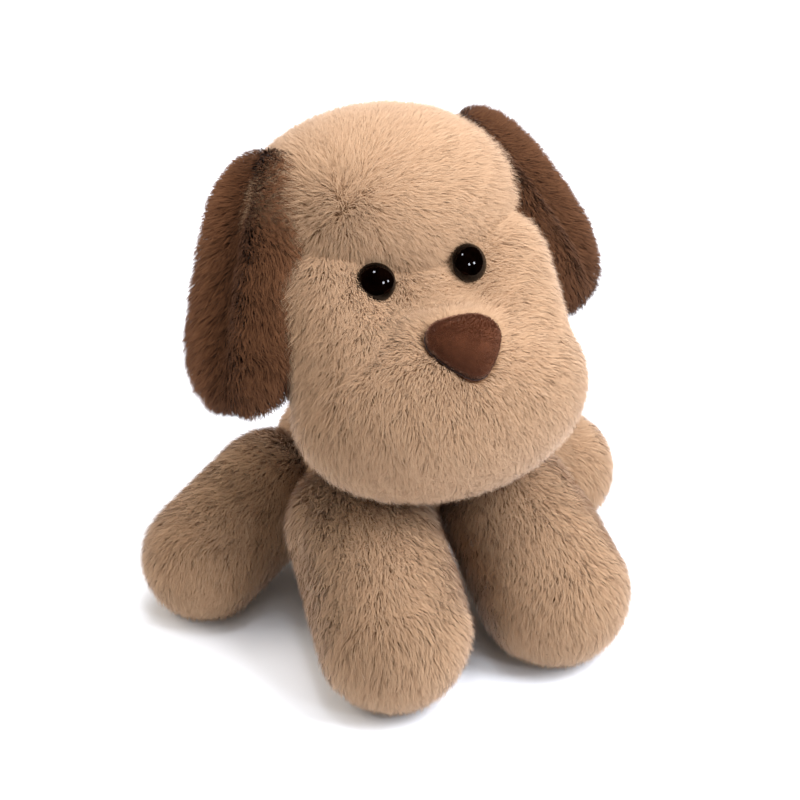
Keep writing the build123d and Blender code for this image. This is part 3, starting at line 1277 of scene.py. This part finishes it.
@dataclass
class Ear:
    """A drooping ear: two layers over a little stuffing, creased down its middle."""

    side: Side
    tip: tuple[float, float, float]
    turn: float  # degrees of its face from the side towards the front
    tone: float  # how light its pile is painted, from 0 to 1: painted light and shade, set apart for each ear
    finishes: Finishes
    pile: Pile = Pile(9.5 * MM, 0.34 * MM, 0.56, 36, 66, clump=2.4 * MM, gather=0.2)
    root: tuple = mm(44.0, 45.0, 204.0)
    root_half: float = 23.0 * MM
    tip_half: float = 27.0 * MM
    half_thick: float = 6.2 * MM
    bow: float = 6.0 * MM
    cup: float = 3.0 * MM
    crease: float = 4.2 * MM

    def half_width(self, x: Array, length: float) -> Array:
        """Half the ear's width.

        Args:
            x: distances from its root.
            length: the ear's length.

        Returns:
            Half the width at each distance.
        """
        near, far = self.root_half, self.tip_half
        straight = near + (far - near) * np.clip((x - near) / (length - near - far), 0, 1)
        start = np.sqrt(np.maximum(near**2 - (x - near) ** 2, 0))
        end = np.sqrt(np.maximum(far**2 - (x - (length - far)) ** 2, 0))
        return np.where(x < near, start, np.where(x > length - far, end, straight))

    def build(self) -> None:
        """Build the ear and its pile."""
        mirror = np.array([self.side.value, 1, 1])
        root, tip = np.array(self.root) * mirror, np.array(self.tip)
        length = float(np.linalg.norm(tip - root))
        down = (tip - root) / length
        angle = math.radians(self.turn)
        out = np.array([self.side.value * math.cos(angle), -math.sin(angle), 0])
        out = unit(out - down * (out @ down))
        across = np.cross(out, down)
        turns = np.linspace(0, 2 * np.pi, 72, endpoint=False)
        rows = []
        for share in (1 - np.cos(np.linspace(0, math.pi, 60))) / 2:
            x = length * share
            half = float(self.half_width(np.array(x), length))
            if not 0.0 < share < 1.0:
                half, turn = 0.0, np.zeros(1)
            else:
                turn = turns
            t = half * np.cos(turn)
            plump = self.half_thick * (half / self.tip_half) ** 0.55
            z = plump * np.sign(np.sin(turn)) * np.abs(np.sin(turn)) ** 0.85
            crease = self.crease * np.exp(-((t / (5 * MM)) ** 2)) * np.sin(math.pi * share) ** 1.4
            z = z - np.where(z > 0, crease, -0.3 * crease)
            z = z - self.cup * (t / self.tip_half) ** 2
            z = z + self.bow * (1 - (2 * share - 1) ** 2)
            along = np.outer(np.full(len(t), x), down)
            rows.append(root + along + np.outer(t, across) + np.outer(z, out))
        name = f"ear_{self.side.word}"
        skin = stitched_grid(f"{name}_skin", rows, self.finishes.brown_backing)
        middle = (root + tip) / 2

        def flow(places: Array, normals: Array) -> Array:
            """Down the ear and out from its crease.

            Args:
                places: the roots of the hairs.
                normals: the skin's normals there, which it doesn't need.

            Returns:
                The way at each root.
            """
            aside = ((places - middle) @ across)[:, None]
            fall = smooth_step((places - root) @ down, 4 * MM, 60 * MM)[:, None]
            outward = across * np.tanh(aside / (7 * MM)) * (1.3 - 0.6 * fall)
            return unit(down * (0.25 + 0.75 * fall) + outward)

        def length_share(places: Array) -> Array:
            """Shorter in the crease and at the root.

            Args:
                places: the roots of the hairs.

            Returns:
                The share of the full length at each root.
            """
            aside = np.abs((places - middle) @ across)
            fall = (places - root) @ down
            return (0.7 + 0.3 * smooth_step(aside, 1 * MM, 9 * MM)) * (
                0.7 + 0.3 * smooth_step(fall, 4 * MM, 26 * MM)
            )

        def tint(places: Array) -> Array:
            """Painted shade: darker in the crease, over the ear's painted tone of light and shade.
            """
            aside = np.abs((places - middle) @ across)
            # The crease is painted darker, as painted shade.
            return self.tone - 0.45 + 0.5 * smooth_step(aside, 1 * MM, 12 * MM)

        hairs = self.pile.grow(
            f"{name}_pile",
            skin,
            flow,
            self.finishes.brown_fur,
            20 + self.side.value,
            length_share,
            tint=tint,
        )
        nodes = [f"ear_{layer}_{self.side.word}" for layer in ("outer", "lining")]
        fur_piece(skin, hairs, name, nodes)


@dataclass
class Leg:
    """A stuffed leg from its root in the torso to its round paw."""

    name: str
    side: Side
    finishes: Finishes
    lumps: list[Lump]
    panels: tuple[str, str]
    pile: Pile = Pile(9.2 * MM, 0.27 * MM, 0.48, 36, 68, clump=2.0 * MM, gather=0.1)

    def build(self, seed: int) -> None:
        """Build the leg and its pile.

        Args:
            seed: the seed of the pile's chance.
        """
        placed = [lump.moved(self.side) for lump in self.lumps]
        chain = []
        for first, last in zip(placed, placed[1:]):
            chain += between(first, last, 5)
        name = f"{self.name}_{self.side.word}"
        filling = f"{self.name}_filling_{self.side.word}"
        skin = sewn_skin(f"{name}_skin", chain, self.finishes.tan_backing, filling, smoothing=8)
        flatten_on_floor(skin, 1.2 * MM)
        root, paw = np.array(placed[0].centre), np.array(placed[-1].centre)
        way = unit(paw - root)

        def flow(places: Array, normals: Array) -> Array:
            """Down the leg and round the paw, a little downward."""
            beyond = smooth_step((places - paw) @ way, -10 * MM, 22 * MM)[:, None]
            return unit(way * (1 - beyond) + np.array([[0, 0, -0.8]]) * (0.4 + beyond))

        hairs = self.pile.grow(f"{name}_pile", skin, flow, self.finishes.tan_fur, seed)
        nodes = [f"{panel}_{self.side.word}" for panel in self.panels]
        fur_piece(skin, hairs, name, nodes)


@dataclass
class Torso:
    """The torso: chest, rump and the seat that the dog rests on, with the neck over it."""

    finishes: Finishes
    pile: Pile = Pile(9.4 * MM, 0.36 * MM, 0.64, 38, 70, clump=2.2 * MM, gather=0.15)
    rump_up: tuple = mm(0, 42, 41)
    rump_radius: float = 41.5 * MM
    chest_up: tuple = mm(0, 14, 57)
    chest_radius: float = 31.5 * MM
    neck_radius: float = 30.5 * MM

    def build(self) -> None:
        """Build the torso and the neck."""
        neck = tuple(pivot("head_turn"))
        rump = Lump(self.rump_up, (self.rump_radius,) * 3)
        chest = Lump(self.chest_up, (self.chest_radius,) * 3)
        collar = Lump(neck, (self.neck_radius * 0.96,) * 3)
        lumps = between(chest, rump, 5) + between(chest, collar, 4)
        backing = self.finishes.tan_backing
        skin = sewn_skin("torso_skin", lumps, backing, "torso_filling", 10, 3.0)
        flatten_on_floor(skin, 1.2 * MM)

        def flow(places: Array, normals: Array) -> Array:
            """Back and down from the neck."""
            return unit(unit(places - np.array(neck)) + np.array([0, 0.25, -0.7]))

        hairs = self.pile.grow("torso_pile", skin, flow, self.finishes.tan_fur, 40)
        nodes = ["torso_cover_left", "torso_cover_right", "seat_panel"]
        fur_piece(skin, hairs, "torso", nodes)
        ball = [Lump(neck, (self.neck_radius,) * 3)]
        dome = sewn_skin("neck_skin", ball, backing, "neck_filling", voxel=3.0)
        short = Pile(6 * MM, 0.5 * MM, 1.1, 45, 75)
        fuzz = short.grow("neck_pile", dome, flow, self.finishes.tan_fur, 41)
        fur_piece(dome, fuzz, "neck", ["neck_cover"])


@dataclass
class Tail:
    """The short tail on the rump."""

    finishes: Finishes
    pile: Pile = Pile(8 * MM, 0.36 * MM, 0.66, 34, 62, clump=2.6 * MM, gather=0.2)
    radius: float = 6.5 * MM
    tip: tuple = mm(0, 87, 95)

    def build(self) -> None:
        """Build the tail and its pile."""
        root = tuple(pivot("tail_wag"))
        lumps = between(Lump(root, (self.radius,) * 3), Lump(self.tip, (self.radius,) * 3), 6)
        skin = sewn_skin("tail_skin", lumps, self.finishes.tan_backing, "tail_filling", 3, 1.6)
        way = unit(np.array(self.tip) - np.array(root))

        def flow(places: Array, normals: Array) -> Array:
            """Along the tail."""
            return np.broadcast_to(way, places.shape)

        hairs = self.pile.grow("tail_pile", skin, flow, self.finishes.tan_fur, 50)
        fur_piece(skin, hairs, "tail", ["tail_cover_left", "tail_cover_right"])


@dataclass
class Insides:
    """The inner pieces, which keep their CAD shapes and get their real finishes."""

    finishes: Finishes

    def dress(self) -> None:
        """Give each inner node its finish."""
        looks = {
            "filling": self.finishes.fibre,
            "pouch": self.finishes.pouch,
            "pellets": self.finishes.beads,
            "washer": self.finishes.washer,
        }
        for name, node in frame["nodes"].items():
            for word, material in looks.items():
                if word in name:
                    for slot in node.material_slots:
                        slot.material = material
        log.info("insides dressed")


@dataclass
class Studio:
    """A plain pale floor, soft lights and the camera."""

    target: tuple = mm(-0.9, 8.5, 94)
    azimuth: float = -24.6
    elevation: float = 30.7
    distance: float = 978 * MM
    lens: float = 101.25
    floor_half: float = 6.0
    cool: tuple = (0.98, 1.03, 1.14)
    warm: tuple = (1.0, 0.93, 0.86)
    lights: tuple = (
        # azimuth, elevation, distance, size, power
        (46.0, 46.0, 0.95, 0.5, 11.6),
        (-118.0, 34.0, 1.1, 0.8, 6.0),
        (150.0, 55.0, 1.0, 0.7, 6.0),
        (20.0, 82.0, 1.1, 0.9, 5.0),
        (15.0, 29.0, 1.0, 0.14, 1.6),
        (42.0, 25.0, 1.0, 0.12, 1.4),
        (-38.0, 78.0, 1.0, 0.13, 1.4),
    )

    def towards(self, azimuth: float, elevation: float) -> Vector:
        """The way from the dog to a place round it."""
        a, e = math.radians(azimuth), math.radians(elevation)
        return Vector((math.sin(a) * math.cos(e), -math.cos(a) * math.cos(e), math.sin(e)))

    def build(self) -> None:
        """Build the floor, the lights, the world and the camera."""
        scene = bpy.context.scene
        target = Vector(self.target)
        floor_mesh = bpy.data.meshes.new("floor")
        half = self.floor_half
        corners = [(-half, -half, 0), (half, -half, 0), (half, half, 0), (-half, half, 0)]
        floor_mesh.from_pydata(corners, [], [(0, 1, 2, 3)])
        shades = srgb(250, 250, 250), srgb(254, 254, 254)
        pale = PlainFinish("floor_paint", *shades, 60, 0.01 * MM, 0.9)
        floor = add_object("floor", floor_mesh, pale.make())
        floor.visible_glossy = False
        for number, (azimuth, elevation, distance, size, power) in enumerate(self.lights):
            lamp = bpy.data.lights.new(f"softbox_{number}", "AREA")
            lamp.size = size
            lamp.energy = power
            lamp.color = self.warm if azimuth < -90 else self.cool
            light = bpy.data.objects.new(f"softbox_{number}", lamp)
            way = self.towards(azimuth, elevation)
            light.location = target + way * distance
            light.rotation_euler = way.to_track_quat("Z", "Y").to_euler()
            light.visible_glossy = size < 0.2
            scene.collection.objects.link(light)
        world = bpy.data.worlds.new("studio")
        world.use_nodes = True
        background = world.node_tree.nodes["Background"]
        background.inputs["Color"].default_value = (1.0, 0.99, 0.975, 1.0)
        background.inputs["Strength"].default_value = 0.43
        world.cycles_visibility.glossy = False
        scene.world = world
        lens = bpy.data.cameras.new("camera")
        lens.lens = self.lens
        lens.sensor_width = 36.0
        lens.clip_start = 0.05
        camera = bpy.data.objects.new("camera", lens)
        way = self.towards(self.azimuth, self.elevation)
        camera.location = target + way * self.distance
        camera.rotation_euler = way.to_track_quat("Z", "Y").to_euler()
        scene.collection.objects.link(camera)
        scene.camera = camera
        scene.view_settings.view_transform = "Standard"
        scene.view_settings.look = "None"
        log.info("studio ready")


def legs(side: Side, finishes: Finishes) -> tuple[Leg, Leg]:
    """The two legs of a side, resting on the floor.

    Args:
        side: their side.
        finishes: the dog's finishes.

    Returns:
        The front leg, stretched forward, and the hind leg, splayed to the side.
    """
    front = [
        Lump(mm(33, -12, 52), (23.5 * MM,) * 3),
        Lump(mm(33, -31, 53), (25.5 * MM,) * 3),
        Lump(mm(35.5, -50, 41), (27.5 * MM,) * 3),
        Lump(mm(37.5, -65, 29.5), mm(28.3, 27, 27.5)),
    ]
    hind = [
        Lump(mm(49, 42, 42), (22.5 * MM,) * 3),
        Lump(mm(69, 35, 34), mm(21, 20.5, 20.5)),
        Lump(mm(87, 27, 26), mm(22.5, 23, 23)),
    ]
    return (
        Leg("front_leg", side, finishes, front, ("front_leg_outer", "front_leg_inner")),
        Leg("hind_leg", side, finishes, hind, ("hind_leg_back", "hind_leg_front")),
    )


def main() -> None:
    """Build the dog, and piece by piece."""
    logging.basicConfig(level=logging.INFO, format="%(name)s: %(message)s")
    Studio().build()
    finishes = Finishes()
    Insides(finishes).dress()
    nose = Nose(finishes)
    eyes = [Eye(side, finishes) for side in Side]
    Head(finishes).build(eyes, nose)
    nose.build()
    for eye in eyes:
        eye.build()
    Torso(finishes).build()
    Tail(finishes).build()
    # Painted light and shade: the right ear's pile is painted lighter and the left ear's darker.
    Ear(Side.LEFT, mm(85, 6, 128), 46, 0.0, finishes).build()
    Ear(Side.RIGHT, mm(-79, 0, 114), 26, 0.72, finishes).build()
    for side in Side:
        for leg, seed in zip(legs(side, finishes), (60, 70)):
            leg.build(seed + side.value)


if __name__ == "__main__":
    main()
